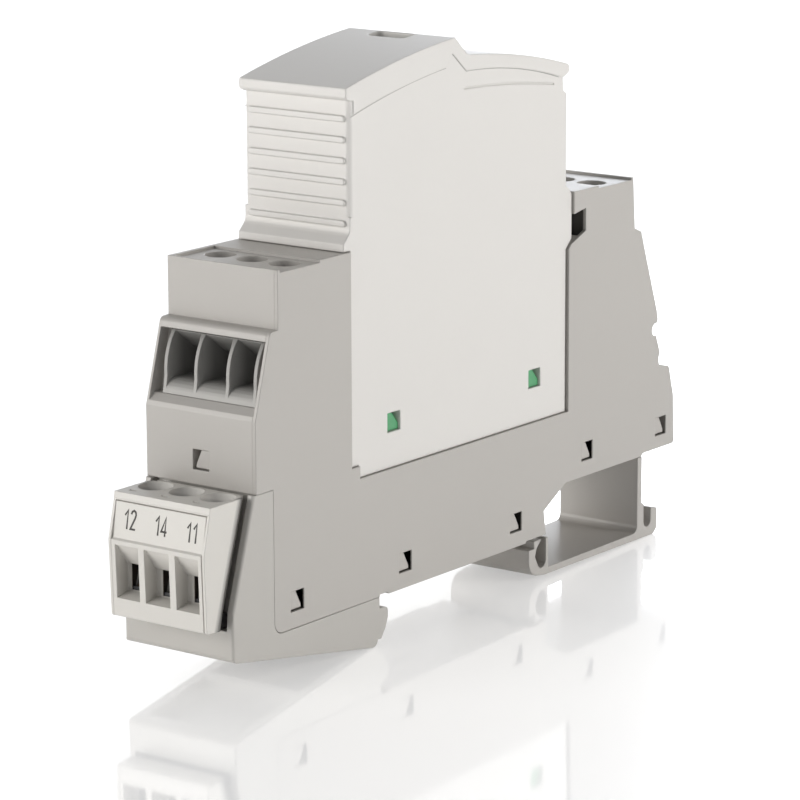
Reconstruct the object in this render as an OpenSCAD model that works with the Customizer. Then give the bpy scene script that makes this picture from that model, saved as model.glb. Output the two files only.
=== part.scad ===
// Pluggable surge arrester for a 35 mm DIN rail, with a three-pole signalling connector.
// +X runs across the width, +Y along the rail base towards the sprung foot, +Z away from the rail.
// The origin is the centre of the rail seat, the underside that lies on the rail.

/* [Body] */
// Width across the device
device_w = 17.7; // [17.2:0.1:18.2]
// Height of the front terminal block above the rail seat
front_top_z = 46.55; // [46:0.05:47]
// Height of the rear terminal block above the rail seat
rear_top_z = 47.3; // [47:0.05:48]
// Thickness of the housing walls
wall = 1.6; // [1.2:0.1:1.8]
// Thickness of the cover's outer skin
cover_skin = 0.5; // [0.4:0.1:0.8]
// Thickness of the cover where it reaches into the tub
cover_full = 1.2; // [1:0.1:1.4]

/* [Rail] */
// Width of the rail that the claws hold
rail_w = 35; // [35:0.1:35.3]
// Depth of the slots that take the rail's flanges
claw_reach = 1.1; // [0.9:0.1:1.5]
// Height of the slots that take the rail's flanges
flange_slot_h = 1.25; // [1.1:0.05:1.6]

/* [Plug] */
// Width of the plug's cap
cap_w = 17.2; // [16.8:0.1:17.4]
// Width of the plug's hood below the cap
hood_w = 17.0; // [16.6:0.1:17.2]
// Wall of the plug's hood
hood_wall = 1.2; // [1:0.1:1.5]
// Number of grip ribs on each end of the hood
rib_count = 6; // [4:1:6]
// Distance between the grip ribs
rib_pitch = 2.68; // [2.5:0.01:2.8]

/* [Terminals] */
// Distance between the terminals
terminal_pitch = 5.2; // [5.1:0.05:5.3]
// Offset of the middle terminal from the device's middle
terminal_x = 0.35; // [0.2:0.05:0.4]
// Distance between the signalling connector's poles
signal_pitch = 5.1; // [5:0.05:5.15]
// Lean of the signalling connector's plugging face
signal_tilt = 17; // [15:0.5:18]

/* [Hidden] */
$fn = 48;

housing_grey = [0.72, 0.71, 0.68];
carrier_grey = [0.76, 0.75, 0.73];
insert_grey = [0.66, 0.65, 0.63];
plug_white = [0.87, 0.87, 0.85];
connector_white = [0.87, 0.86, 0.83];
hook_green = [0.22, 0.6, 0.35];
steel = [0.72, 0.73, 0.75];
copper = [0.78, 0.55, 0.38];
dark_plastic = [0.14, 0.14, 0.15];

half_w = device_w / 2;
skin_x = half_w - cover_skin;
cover_in_x = half_w - cover_full;
far_in_x = -half_w + wall;
slip = 0.05;
lip = 0.1;
through = 1;

// Stations along the base
rail_y = rail_w / 2;
claw_y = rail_y - claw_reach;
seat_y = 15.6;
nose_y = -15.85;
tip_y = 20.55;
pocket_y0 = -23.3;
pocket_y1 = 25.9;
deck_z = 16.65;
deck_t = 1.5;
front_face_y = -38.25;
lower_face_y = -42.95;
lower_z = 18.85;
seam_y = -39.55;
rear_floor_z = 6.65;

// Plug
plug_y0 = -22.95;
plug_y1 = 25.5;
plug_z0 = deck_z + lip;
cap_y0 = -23.7;

// Terminals
terminal_xs = [for (i = [-1:1]) terminal_x + i * terminal_pitch];
signal_x = 0.15;
signal_xs = [for (i = [-1:1]) signal_x + i * signal_pitch];
screw_y = -32.6;
mirror_sum_y = 3.5;
hole_r = 2.05;
head_r = 1.95;
shank_r = 1.25;
thread_clearance = 0.07;
head_z = 43;
head_h = 1.4;
bar_z = 36.1;
bar_t = 0.8;
bar_w = 2.6;
cage_w = 3.8;
cage_l = 5.6;
cage_bottom_z = 31.4;
cage_h = 8.6;
cage_wall = 0.5;
cage_top_t = 1.4;
cage_floor_t = 1.2;

// Signalling connector
connector_x0 = -7.55;
connector_x1 = 7.95;
cheek_t = 1.0;
pivot_y = -46.2;
pivot_z = 18.65;

// Contact forks and blades
front_fork_y = -18;
rear_fork_y = 20.6;
fork_z0 = 8;
fork_z1 = 14.4;
blade_t = 0.8;
blade_w = 2.4;
leaf_t = 0.5;

// Arc through polar angles, as outline points (y, z)
function arc(cy, cz, r, a0, a1, n = 6) =
    [for (i = [0:n]) let (a = a0 + (a1 - a0) * i / n) [cy + r * cos(a), cz + r * sin(a)]];

// Arc from point a to point b that bulges by s to the left of the way from a to b
function bulge(a, b, s, n = 12) =
    let (d = b - a, len = norm(d), r = (len * len / 4 + s * s) / (2 * abs(s)), side = s > 0 ? 1 : -1,
         mid = (a + b) / 2, left = [-d[1], d[0]] / len, c = mid - left * side * (r - abs(s)),
         a0 = atan2(a[1] - c[1], a[0] - c[0]), sweep = 2 * asin(len / 2 / r))
    [for (i = [0:n]) let (t = a0 - side * sweep * i / n) c + r * [cos(t), sin(t)]];

// Extrude an outline given as (y, z) points across the width, from x0 to x1
module across(outline, x0, x1) {
    translate([x0, 0, 0])
        rotate([90, 0, 90])
            linear_extrude(x1 - x0)
                polygon(outline);
}

module box(x0, x1, y0, y1, z0, z1) {
    translate([x0, y0, z0])
        cube([x1 - x0, y1 - y0, z1 - z0]);
}

// Rounded slot through the top, centred at (x, y)
module round_slot(x, y, w, l, r, z0, z1) {
    for (sx = [-1, 1], sy = [-1, 1])
        translate([x + sx * (w / 2 - r), y + sy * (l / 2 - r), z0])
            cylinder(r = r, h = z1 - z0);
    box(x - w / 2 + r, x + w / 2 - r, y - l / 2, y + l / 2, z0, z1);
    box(x - w / 2, x + w / 2, y - l / 2 + r, y + l / 2 - r, z0, z1);
}

// Cutter that rounds a body's corner at the origin; the body fills the quadrant +x +y
module corner_cutter(r, h) {
    difference() {
        translate([-1, -1, 0])
            cube([r + 1, r + 1, h]);
        translate([r, r, -1])
            cylinder(r = r, h = h + 2);
    }
}

module to_rear() {
    translate([0, mirror_sum_y, 0])
        mirror([0, 1, 0])
            children();
}

// The connector's own leaning frame: origin at the middle screw hole's mouth
module lean() {
    translate([0, pivot_y, pivot_z])
        rotate([-signal_tilt, 0, 0])
            children();
}

// Base outlines
front_ledge = concat([[front_face_y, 39.0], [-39.3, 38.95]], arc(-39.25, 38.15, 0.8, 100, 175, 4));
rear_notch = concat([[48.15, 27.3], [48.45, 25.9]], arc(47.9, 24.5, 0.95, 75, 285, 8),
                    [[48.2, 23.2], [49.05, 21.05], [48.65, 20.05], [48.9, 19.3]]);
base_outline = concat(
    [[-17.6, 0.3], [-seat_y - 0.3, 0.3], [-seat_y, 0], [seat_y, 0], [seat_y + 0.3, 0.3], [tip_y, 0.3],
     [20.05, 3.7], [25.4, rear_floor_z],
     [44.4, rear_floor_z], [45.0, 7.03]],
    arc(52.45, 7.53, 0.5, -90, 0, 3), [[52.7, 14.1]], arc(50.9, 18.05, 0.7, 20, 90, 3), [[50.5, 18.8]],
    [for (i = [len(rear_notch) - 1:-1:0]) rear_notch[i]],
    [[43.9, 39.25], [42.2, 39.95], [41.7, rear_top_z], [27.1, rear_top_z], [27.1, 40.7],
     [pocket_y1, 39.5], [pocket_y1, deck_z], [-21.6, deck_z], [-21.6, 18.3], [pocket_y0, 18.3],
     [pocket_y0, front_top_z], [front_face_y, front_top_z]],
    front_ledge,
    [[-42.75, 28.75], [lower_face_y, 28.1], [lower_face_y, lower_z], [seam_y, lower_z]],
    [for (p = arc(-38.05, 1.5, 1.5, 180, 270, 5)) p],
    [[-17.6, 0]]);

front_room = [[-36.75, 44.95], [-24.9, 44.95], [-24.9, 20.4], [-41.35, 20.4], [-41.35, 28.6],
              [-38.85, 37.4], [-36.75, 37.4]];
rear_room = [[40.2, 45.7], [28.6, 45.7], [28.6, 41.0], [27.5, 39.4], [27.5, 18.2], [27.5, 8.25], [51.3, 8.25],
             [51.1, 13.8], [49.7, 17.2], [47.2, 17.2], [47.0, 21.0], [45.4, 23.0], [45.4, 27.4], [42.3, 37.4],
             [40.3, 37.4]];
trough = [[-38.0, 1.5], [18.4, 1.5], [18.5, 4.6], [25.0, 8.2], [pocket_y1, 8.25], [pocket_y1, deck_z - deck_t],
          [-38.0, deck_z - deck_t]];

// The windows of the terminals reach from a thin rim on the far side to the cover, over a sill that slopes inwards
window_x0 = -half_w + 0.35;
sill_z = 29.6;
window_z1 = 37.75;
front_window = [[-44, 28.6], [-42.9, 28.6], [-41.75, sill_z], [-40.3, sill_z], [-38.5, window_z1], [-44, window_z1]];
rear_window = [[50, 28.6], [47.7, 28.6], [45.3, sill_z], [43.8, sill_z], [41.9, window_z1], [50, window_z1]];
window_slit = [[-41, sill_z], [-37.0, sill_z], [-36.9, 37.4], [-39.0, 37.4]];

corner_notch = [[26, 39.9], [29.95, 41.5], [29.95, 44.65], [26, 44.0]];
snap_windows = [[-34.9, 3.5], [-11.95, 3.5], [13.35, 3.45], [30.6, 10.2], [49.4, 10.2]];
snap_size = [2.75, 2.7];

// Foot guide in the floor of the rear room
foot_x0 = -4.45;
foot_wall_y = 43.55;
foot_wall_t = 1.1;
foot_travel = 2;
stem_x0 = -3.9;
stem_x1 = 6.9;
guide_z = 8.3;

module screw_wells(zs, top) {
    for (x = terminal_xs)
        translate([x, screw_y, zs])
            cylinder(r = hole_r, h = top - zs);
}

module blade_slots() {
    for (x = terminal_xs, y = [front_fork_y, rear_fork_y])
        box(x - blade_w / 2 - 0.3, x + blade_w / 2 + 0.3, y - 0.8, y + 0.8, deck_z - deck_t - through, deck_z + through);
}

// A snap hook on a bending post; its wedge fills the lower left of a window in the cover
hook_w = 2.2;
hook_post_t = 1.1;
hook_reach = 2.1;
module snap_hook(y, z) {
    y0 = y - snap_size[0] / 2 + 0.1;
    z0 = z - snap_size[1] / 2 + 0.25;
    across([[y0, z0], [y0 + hook_w, z0], [y0 + hook_w, z0 + 0.45], [y0 + 1.15, z0 + 2.35], [y0, z0 + 2.35]],
           skin_x - hook_reach, skin_x + 0.25);
    box(skin_x - hook_reach - hook_post_t, skin_x - hook_reach, y0, y0 + hook_w, z - 2.6, z0 + 2.35);
}

// Thin walls that keep the poles' contacts apart below the deck
module pole_partitions() {
    for (x = [(terminal_xs[0] + terminal_xs[1]) / 2, (terminal_xs[1] + terminal_xs[2]) / 2]) {
        box(x - 0.4, x + 0.4, -24.5, -14.5, 6.5, deck_z - deck_t + 0.2);
        box(x - 0.4, x + 0.4, 16.5, pocket_y1 + 0.2, 8.6, deck_z - deck_t + 0.2);
    }
}

module base_tub() {
    color(housing_grey) {
        difference() {
            across(base_outline, -half_w, skin_x);
            across(front_room, far_in_x, skin_x + through);
            across(rear_room, far_in_x, skin_x + through);
            across(trough, far_in_x, skin_x + through);
            across(front_window, window_x0, skin_x + through);
            across(rear_window, window_x0, skin_x + through);
            across(window_slit, far_in_x - 0.7, far_in_x + 0.3);
            to_rear() across(window_slit, far_in_x - 0.7, far_in_x + 0.3);
            screw_wells(40, front_top_z + through);
            to_rear() screw_wells(40, rear_top_z + through);
            // Sunken field round the screws, with a rim at the front and the far side
            box(-half_w + 0.65, skin_x + through, front_face_y + 0.45, -29.7, front_top_z - 0.35, front_top_z + through);
            box(-half_w + 0.65, skin_x + through, 33.0, 41.25, rear_top_z - 0.35, rear_top_z + through);
            blade_slots();
            // Hole for the fault tappet over the microswitch
            translate([0, -4, deck_z - deck_t - through])
                cylinder(r = 1.4, h = deck_t + 2 * through);
            // Slot for the signal board in the front wall
            box(-board_w / 2 - 0.2, board_w / 2 + 0.2, seam_y - through, -37.4, board_z - 0.2, board_z + board_t + 0.3);
            // Corner opening beside the plug
            across(corner_notch, far_in_x + 8, skin_x + through);
            // Slot for the foot's guide stem
            box(stem_x0 - 0.3, stem_x1 + 0.3, foot_wall_y - 0.3, foot_wall_y + foot_wall_t + foot_travel + 0.3,
                rear_floor_z - through, guide_z + 0.5);
            // Passages for the contact bars between the blocks and the trough
            for (x = terminal_xs) {
                box(x - bar_w / 2 - 0.2, x + bar_w / 2 + 0.2, -26.6, -25.0, deck_z - deck_t - through, 21);
                box(x - bar_w / 2 - 0.2, x + bar_w / 2 + 0.2, 23.9, 27.9, 9.4, 11.4);
            }
            // Snap window in the lower front face
            box(-1.3, 1.3, lower_face_y - through, -41.2, 20.75, 23.4);
        }
        for (w = snap_windows)
            snap_hook(w[0], w[1]);
        pole_partitions();
        // Hook in the lower front window, on a post behind it
        translate([0, -41.3, 0])
            rotate([90, 0, 0])
                linear_extrude(1.35)
                    polygon([[-1.0, 20.95], [1.05, 20.95], [1.2, 21.8], [1.2, 23.3], [-0.1, 23.3], [-0.95, 21.4]]);
        box(-1.0, 1.2, -41.5, -40.6, 20.2, 23.3);
    }
}

// Locating pad of the cover: fits a room of the tub with a small gap all round
module cover_pad(y0, y1, z0, z1) {
    box(cover_in_x, skin_x, y0, y1, z0, z1);
}

module base_cover() {
    color(housing_grey)
        difference() {
            union() {
                across(base_outline, skin_x, half_w);
                cover_pad(-36.6, -28, 40.6, 44.8);
                cover_pad(-41.1, -25.1, 21, 28.4);
                cover_pad(33.5, 40.0, 41.2, 45.5);
                cover_pad(27.8, 45, 12.4, 26);
                cover_pad(-31, -14.5, 2, 14.8);
                cover_pad(-9, 10.8, 2, 14.8);
            }
            for (w = snap_windows) {
                box(cover_in_x - through, half_w + through, w[0] - snap_size[0] / 2, w[0] + snap_size[0] / 2,
                    w[1] - snap_size[1] / 2, w[1] + snap_size[1] / 2);
                // The window is wider inside, behind a thin edge
                box(cover_in_x - through, half_w - 0.2, w[0], w[0] + snap_size[0] / 2 + 0.6,
                    w[1] - snap_size[1] / 2, w[1] + snap_size[1] / 2);
            }
            across(corner_notch, cover_in_x - through, half_w + through);
            // The sunken field runs out through the cover
            box(skin_x - through, half_w + through, front_face_y + 0.45, -29.7, front_top_z - 0.35, front_top_z + through);
            box(skin_x - through, half_w + through, 33.0, 41.25, rear_top_z - 0.35, rear_top_z + through);
        }
}

// L-shaped carrier: upright with the connector's seat, and the leg that ends in the fixed claw
carrier_y0 = -47.85;
cheek_round = 0.35;
cheek_front = 2.65;
carrier_outline = concat(
    [[-43.4, lower_z - slip], [seam_y - slip, lower_z - slip]],
    arc(-38.05, 1.45, 1.55, 180, 270, 5),
    [[-17.65, -slip], [-17.65, -flange_slot_h - 0.3], [-16.4, -1.6]],
    arc(-16.35, -2.15, 0.5, 90, 0, 3),
    [[nose_y, -3.0], [-16.35, -4.35], [-17.3, -5.7]],
    arc(-19.0, -5.6, 0.95, -5, -95, 4),
    [[-46.9, -1.95]],
    arc(carrier_y0 + 0.75, -1.15, 0.75, -100, -180, 4),
    [[carrier_y0, 2.6], [-47.7, 4.6]]);

module signal_carrier() {
    seat = [[-60, 40], [-60, 2.45], [-49.0, 2.2], [-46.9, 2.25], [-46.6, 3.0], [-42.2, 17.6], [-42.2, 40]];
    color(carrier_grey)
        difference() {
            across(carrier_outline, -half_w, half_w);
            // Seat between the two cheeks, leaning like the connector's back
            across(seat, -half_w + cheek_t, half_w - cheek_t);
            // Room behind the seat for the board and the pins' tails
            across([[-45.4, 2.0], [seam_y + 1, 2.0], [seam_y + 1, 17.4], [-40.7, 17.4]], -7.2, 7.2);
            // Hollows under the leg, with a rib between them
            across([[-45.5, -10], [-34.2, -10], [-34.2, -1.4], [-45.5, -0.4]], -7.3, 7.3);
            across([[-32.8, -10], [-21.2, -10], [-21.2, -1.4], [-32.8, -1.4]], -7.3, 7.3);
            // Window for the header
            lean() box(-header_w / 2 - lip, header_w / 2 + lip, 2, 5.8, header_z0 - lip, header_z1 + lip);
            // Rounded front corners of the cheeks and of the foot below them
            for (s = [0, 1])
                mirror([s, 0, 0]) {
                    lean() translate([-half_w, cheek_front, -14.6]) corner_cutter(cheek_round, 17);
                    translate([-half_w, carrier_y0, -3]) corner_cutter(cheek_round, 7.4);
                }
        }
}

// Sprung rail claw: finger, floor, wall with guide stem, and tab with a screwdriver groove
foot_floor_z = -5.4;
foot_outline = concat(
    [[17.75, -flange_slot_h], [claw_y + 0.05, -flange_slot_h], [claw_y + 0.05, -2.7]],
    arc(18.95, -2.75, 2.5, 180, 250, 5),
    [[20.2, foot_floor_z], [47.8, foot_floor_z], [48.65, -4.7], [48.65, -1.75], [48.3, -1.6], [47.1, -1.4]],
    arc(46.15, -3.1, 0.95, 0, -180, 8),
    [[45.2, -0.55], [foot_wall_y + foot_wall_t, -0.2], [foot_wall_y + foot_wall_t, rear_floor_z - lip],
     [foot_wall_y, rear_floor_z - lip]],
    [for (p = arc(foot_wall_y - 1, -3.4, 1, 0, -90, 4)) p],
    [[21.1, -4.5], [21.1, -0.2], [20.6, -0.2], [20.6, -3.3]],
    arc(19.55, -3.25, 1.05, -10, -150, 6),
    [[17.95, -2.4], [18.3, -1.3], [19.4, -0.2], [17.75, -0.2]]);

module rail_foot() {
    color(housing_grey) {
        across(foot_outline, foot_x0, half_w);
        box(stem_x0, stem_x1, foot_wall_y, foot_wall_y + foot_wall_t, rear_floor_z - lip, guide_z + 0.2);
        box(stem_x0, stem_x1, foot_wall_y - 2.4, foot_wall_y + foot_wall_t + 1.2, guide_z + 0.2, guide_z + 1.5);
    }
}

// Terminal insert: wire funnels between thin dividers, cage pockets and screw seats in one moulding
insert_back_y = -27.8;
insert_outline = [[-36.65, 44.85], [insert_back_y, 44.85], [insert_back_y, 27.0], [-41.2, 27.0], [-41.2, 28.7],
                  [-38.75, 37.3], [-36.65, 37.3]];
// The dividers' front edge bulges forward through the window
insert_z0 = sill_z + slip;
divider_front = concat([[-41.72, insert_z0]], bulge([-41.34, 31.9], [-39.6, 37.5], 0.55, 10));
insert_nose = concat([[-40.4, insert_z0]], divider_front, [[-38.85, 37.55], [-38.6, 37.3]]);
divider_xs = [-6.85, -1.95, 3.2, 7.6];
divider_t = 0.5;
insert_x1 = cover_in_x - lip;
wire_hole_w = 2.9;
wire_hole_z0 = 31.55;
wire_hole_z1 = 34.85;
wire_hole_y = -36.4;
cage_room = 0.2;
cage_room_z1 = 42.45;

// Space of one funnel seen from the side: domed sill, sloping ceiling and square hole
funnel_side = concat([[-45, insert_z0]], [for (a = [180:-15:90]) [-39.6 + 2.15 * cos(a), insert_z0 + 1.85 * sin(a)]],
    [[-35.2, wire_hole_z0], [-35.2, wire_hole_z1], [wire_hole_y, wire_hole_z1], [-39.6, 37.4], [-45, 37.4]]);

module funnel(x0, x1, cx) {
    intersection() {
        across(funnel_side, x0, x1);
        translate([0, 0, 28])
            linear_extrude(12)
                polygon([[x0, -46], [x1, -46], [x1, -40.2], [cx + wire_hole_w / 2, wire_hole_y],
                         [cx + wire_hole_w / 2, -35], [cx - wire_hole_w / 2, -35], [cx - wire_hole_w / 2, wire_hole_y],
                         [x0, -40.2]]);
    }
}

module terminal_insert() {
    color(insert_grey)
        difference() {
            union() {
                across(insert_outline, divider_xs[0] - divider_t / 2, insert_x1);
                across(insert_nose, divider_xs[0] - divider_t / 2, divider_xs[3] + divider_t / 2);
            }
            for (i = [0:2])
                funnel(divider_xs[i] + divider_t / 2, divider_xs[i + 1] - divider_t / 2, terminal_xs[i]);
            for (x = terminal_xs) {
                // Pocket in which the cage climbs
                box(x - cage_w / 2 - cage_room, x + cage_w / 2 + cage_room, screw_y - cage_l / 2 - cage_room,
                    screw_y + cage_l / 2 + cage_room, cage_bottom_z - cage_room, cage_room_z1);
                // Slot for the contact bar at the back
                box(x - bar_w / 2 - lip, x + bar_w / 2 + lip, insert_back_y - 3, insert_back_y + through,
                    bar_z - lip, bar_z + bar_t + lip);
                // Screw's neck and head
                translate([x, screw_y, cage_room_z1 - through])
                    cylinder(r = 1.45, h = 5);
                translate([x, screw_y, head_z - slip])
                    cylinder(r = hole_r, h = 5);
                // Hollow below the pocket, so that no wall is thick
                box(x - 1.9, x + 1.9, -40, screw_y + cage_l / 2, 26, 29.0);
            }
        }
}

module terminal_screw(x) {
    color(steel)
        translate([x, screw_y, 0])
            difference() {
                union() {
                    translate([0, 0, bar_z + bar_t + slip])
                        cylinder(r = shank_r, h = head_z - bar_z - bar_t);
                    translate([0, 0, head_z])
                        cylinder(r = head_r, h = head_h);
                }
                // Cross slot
                box(-1.35, 1.35, -0.3, 0.3, head_z + 0.6, head_z + head_h + through);
                box(-0.3, 0.3, -1.35, 1.35, head_z + 0.6, head_z + head_h + through);
            }
}

module clamp_cage(x) {
    z_top = cage_bottom_z + cage_h;
    color(steel)
        difference() {
            box(x - cage_w / 2, x + cage_w / 2, screw_y - cage_l / 2, screw_y + cage_l / 2, cage_bottom_z, z_top);
            box(x - cage_w / 2 + cage_wall, x + cage_w / 2 - cage_wall, screw_y - cage_l, screw_y + cage_l,
                cage_bottom_z + cage_floor_t, z_top - cage_top_t);
            translate([x, screw_y, z_top - cage_top_t - through])
                cylinder(r = shank_r + thread_clearance, h = cage_top_t + 2 * through);
        }
}

// Contact bar from the clamp down into the trough, with a two-leaf fork that takes a blade
module fork(x, y) {
    for (s = [-1, 1])
        box(x - bar_w / 2, x + bar_w / 2, y + s * (blade_t / 2 + lip + leaf_t / 2) - leaf_t / 2,
            y + s * (blade_t / 2 + lip + leaf_t / 2) + leaf_t / 2, fork_z0 + 0.8, fork_z1);
    box(x - bar_w / 2, x + bar_w / 2, y - blade_t / 2 - lip - leaf_t, y + blade_t / 2 + lip + leaf_t,
        fork_z0, fork_z0 + 0.8);
}

module front_bar(x) {
    drop_y = -26.2;
    color(copper) {
        box(x - bar_w / 2, x + bar_w / 2, screw_y - cage_l / 2 + 0.3, drop_y + bar_t, bar_z, bar_z + bar_t);
        box(x - bar_w / 2, x + bar_w / 2, drop_y, drop_y + bar_t, 10, bar_z);
        box(x - bar_w / 2, x + bar_w / 2, drop_y, front_fork_y - 1, 9.2, 10);
        fork(x, front_fork_y);
        box(x - bar_w / 2, x + bar_w / 2, front_fork_y - 1.2, front_fork_y - 0.95, 8.8, 10);
    }
}

module rear_bar(x) {
    rear_y = mirror_sum_y - screw_y;
    drop_y = 27.8;
    color(copper) {
        box(x - bar_w / 2, x + bar_w / 2, drop_y, rear_y + cage_l / 2 - 0.3, bar_z, bar_z + bar_t);
        box(x - bar_w / 2, x + bar_w / 2, drop_y, drop_y + bar_t, 10, bar_z);
        box(x - bar_w / 2, x + bar_w / 2, rear_fork_y + 0.95, drop_y + bar_t, 10, 10.8);
        fork(x, rear_fork_y);
        box(x - bar_w / 2, x + bar_w / 2, rear_fork_y + 0.95, rear_fork_y + 1.2, 8.8, 10.8);
    }
}

// Board that carries the microswitch and the header, from behind the seat to under the plug
board_z = 2.2;
board_t = 1.0;
board_w = 9.4;
board_front_w = 12.8;
switch_y0 = -9;
switch_y1 = 1;
switch_z1 = 10.8;
button_y = -4;
button_r = 1.04;

module signal_board() {
    color([0.25, 0.45, 0.3])
        translate([0, 0, board_z])
            linear_extrude(board_t)
                polygon([[-board_front_w / 2, -44.1], [board_front_w / 2, -44.1], [board_front_w / 2, -39.9],
                         [board_w / 2, -39.9], [board_w / 2, 4.5], [-board_w / 2, 4.5], [-board_w / 2, -39.9],
                         [-board_front_w / 2, -39.9]]);
}

module microswitch() {
    color(dark_plastic)
        difference() {
            box(-2.9, 2.9, switch_y0, switch_y1, board_z + board_t, switch_z1);
            translate([0, button_y, switch_z1 - 2])
                cylinder(r = button_r + 0.06, h = 3);
            // Mounting holes across the switch
            for (y = [switch_y0 + 1.6, switch_y1 - 1.6])
                translate([-4, y, board_z + board_t + 1.8])
                    rotate([0, 90, 0])
                        cylinder(r = 0.8, h = 8);
        }
}

module microswitch_button() {
    color([0.8, 0.25, 0.2])
        translate([0, button_y, switch_z1 - 1.1])
            cylinder(r = button_r, h = 1.9);
}

// Header: a bar of pins in the seat between the carrier's cheeks
header_w = 14;
header_z0 = -15.8;
header_z1 = -14.1;
pin_z = -14.95;
pin_t = 0.6;

module header_shroud() {
    color(dark_plastic)
        lean()
            difference() {
                box(-header_w / 2, header_w / 2, 2.3, 5.3, header_z0, header_z1);
                for (x = signal_xs)
                    box(x - pin_t / 2, x + pin_t / 2, 0, 8, pin_z - pin_t / 2, pin_z + pin_t / 2);
            }
}

module header_pins() {
    color(steel)
        for (x = signal_xs) {
            lean() box(x - pin_t / 2, x + pin_t / 2, -0.1, 6.3, pin_z - pin_t / 2, pin_z + pin_t / 2);
            box(x - pin_t / 2, x + pin_t / 2, -44.75, -44.25, board_z + 0.2, board_z + board_t + 0.5);
            box(x - pin_t / 2, x + pin_t / 2, -44.75, -43.0, board_z + board_t + 0.02, board_z + board_t + 0.5);
        }
}

// Signalling connector: wedge-shaped body with leaning screws, and a snapped-in front plate
connector_body_outline = concat([[-50.85, 18.65], [-51.0, 17.9], [-50.95, 17.75], [-51.05, 17.5], [-52.15, 13.0],
                                 [-52.2, 12.6], [-51.85, 2.95], [-51.65, 2.75], [-49.15, 2.6]],
                                [[-44.15, 18.4], [-44.35, 18.65]]);
front_plate_outline = [[-51.0, 17.55], [-51.85, 12.95], [-52.2, 12.85], [-51.87, 3.0], [-51.65, 2.78],
                       [-51.1, 2.74], [-51.4, 12.65], [-50.4, 17.55]];
front_room_outline = [[-60, 17.72], [-60, 0], [-50.95, 0], [-51.0, 2.7], [-51.3, 12.65], [-50.3, 17.72]];
side_t = 0.38;
plate_x0 = connector_x0 + side_t + slip;
plate_x1 = connector_x1 - side_t - slip;
funnel_xs = [[-6.5, -2.75], [-1.8, 2.2], [3.2, 6.9]];
funnel_z0 = 5.3;
funnel_z1 = 12.1;
signal_hole_w = 2.0;
signal_hole_z0 = 6.4;
signal_hole_z1 = 9.6;
signal_cage_w = 3.5;
signal_cage_d = 2.6;
signal_cage_z0 = -13.5;
signal_cage_z1 = -6.6;
signal_shank_r = 1.0;
signal_head_r = 1.8;
signal_hole_r = 1.9;
signal_seat_z = -3.4;
signal_screw_z = -7.9;
contact_z = -8.6;

module signal_room(x) {
    // Pocket in which the cage climbs
    box(x - signal_cage_w / 2 - 0.15, x + signal_cage_w / 2 + 0.15, -signal_cage_d / 2 - 0.15,
        signal_cage_d / 2 + 0.15, signal_cage_z0 - 0.15, signal_cage_z1 + 2.4);
}

module connector_body() {
    color(connector_white)
        difference() {
            across(connector_body_outline, connector_x0, connector_x1);
            // Room for the front plate between the side walls
            across(front_room_outline, connector_x0 + side_t, connector_x1 - side_t);
            for (x = signal_xs) {
                lean() {
                    translate([x, 0, signal_seat_z])
                        cylinder(r = signal_hole_r, h = 6);
                    translate([x, 0, -0.55])
                        cylinder(r1 = signal_hole_r, r2 = 2.35, h = 0.95);
                    translate([x, 0, -5])
                        cylinder(r = 1.15, h = 4);
                    signal_room(x);
                    // Slot for the contact strip behind the cage, and its socket below
                    box(x - 1.2, x + 1.2, signal_cage_d / 2, 1.8, -15.4, contact_z + 0.6);
                    box(x - 0.8, x + 0.8, -0.35, 1.8, -15.5, -14.35);
                    box(x - 0.4, x + 0.4, 0, 8, pin_z - 0.4, pin_z + 0.4);
                }
                // Coding notch in front of each screw
                box(x - 1.4, x - 0.1, -49.6, -49.1, 18.1, 20);
                // Wire way from the front plate to the cage
                box(x - signal_hole_w / 2, x + signal_hole_w / 2, -52, -49.5, signal_hole_z0, signal_hole_z1);
            }
            for (i = [0:2])
                wire_funnel(funnel_xs[i][0], funnel_xs[i][1], signal_xs[i]);
            // The sides stop short of the cheeks, below a thin lid
            lean() {
                box(connector_x0 - through, connector_x0 + side_t, 1.6, 4, -18, -1.2);
                box(connector_x1 - side_t, connector_x1 + through, 1.6, 4, -18, -1.2);
            }
        }
}

module wire_funnel(x0, x1, cx) {
    intersection() {
        across([[-53, funnel_z0], [-51.7, funnel_z0], [-50.4, signal_hole_z0], [-50, signal_hole_z0],
                [-50, signal_hole_z1], [-50.4, signal_hole_z1], [-51.9, funnel_z1], [-53, funnel_z1]], x0, x1);
        translate([0, 0, funnel_z0 - 1])
            linear_extrude(funnel_z1 - funnel_z0 + 2)
                polygon([[x0, -53], [x1, -53], [x1, -51.8], [cx + signal_hole_w / 2, -50.6],
                         [cx + signal_hole_w / 2, -49], [cx - signal_hole_w / 2, -49],
                         [cx - signal_hole_w / 2, -50.6], [x0, -51.8]]);
    }
}

module connector_front() {
    color(connector_white)
        difference() {
            across(front_plate_outline, plate_x0, plate_x1);
            for (i = [0:2])
                wire_funnel(funnel_xs[i][0], funnel_xs[i][1], signal_xs[i]);
            for (x = signal_xs)
                lean() signal_room(x);
        }
}

// Clamping bar inside the cage, strip behind it and two-leaf socket for the header's pin
module connector_contacts() {
    color(copper)
        lean()
            for (x = signal_xs) {
                box(x - 1.0, x + 1.0, -signal_cage_d / 2, 1.5, contact_z, contact_z + 0.6);
                difference() {
                    box(x - 1.0, x + 1.0, 1.4, 1.7, -15.35, contact_z + 0.6);
                    box(x - 0.4, x + 0.4, 1, 2, pin_z - 0.4, pin_z + 0.4);
                }
                for (s = [-1, 1])
                    box(x + s * 0.5 - 0.1, x + s * 0.5 + 0.1, -0.2, 1.5, -15.35, -14.55);
            }
}

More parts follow.
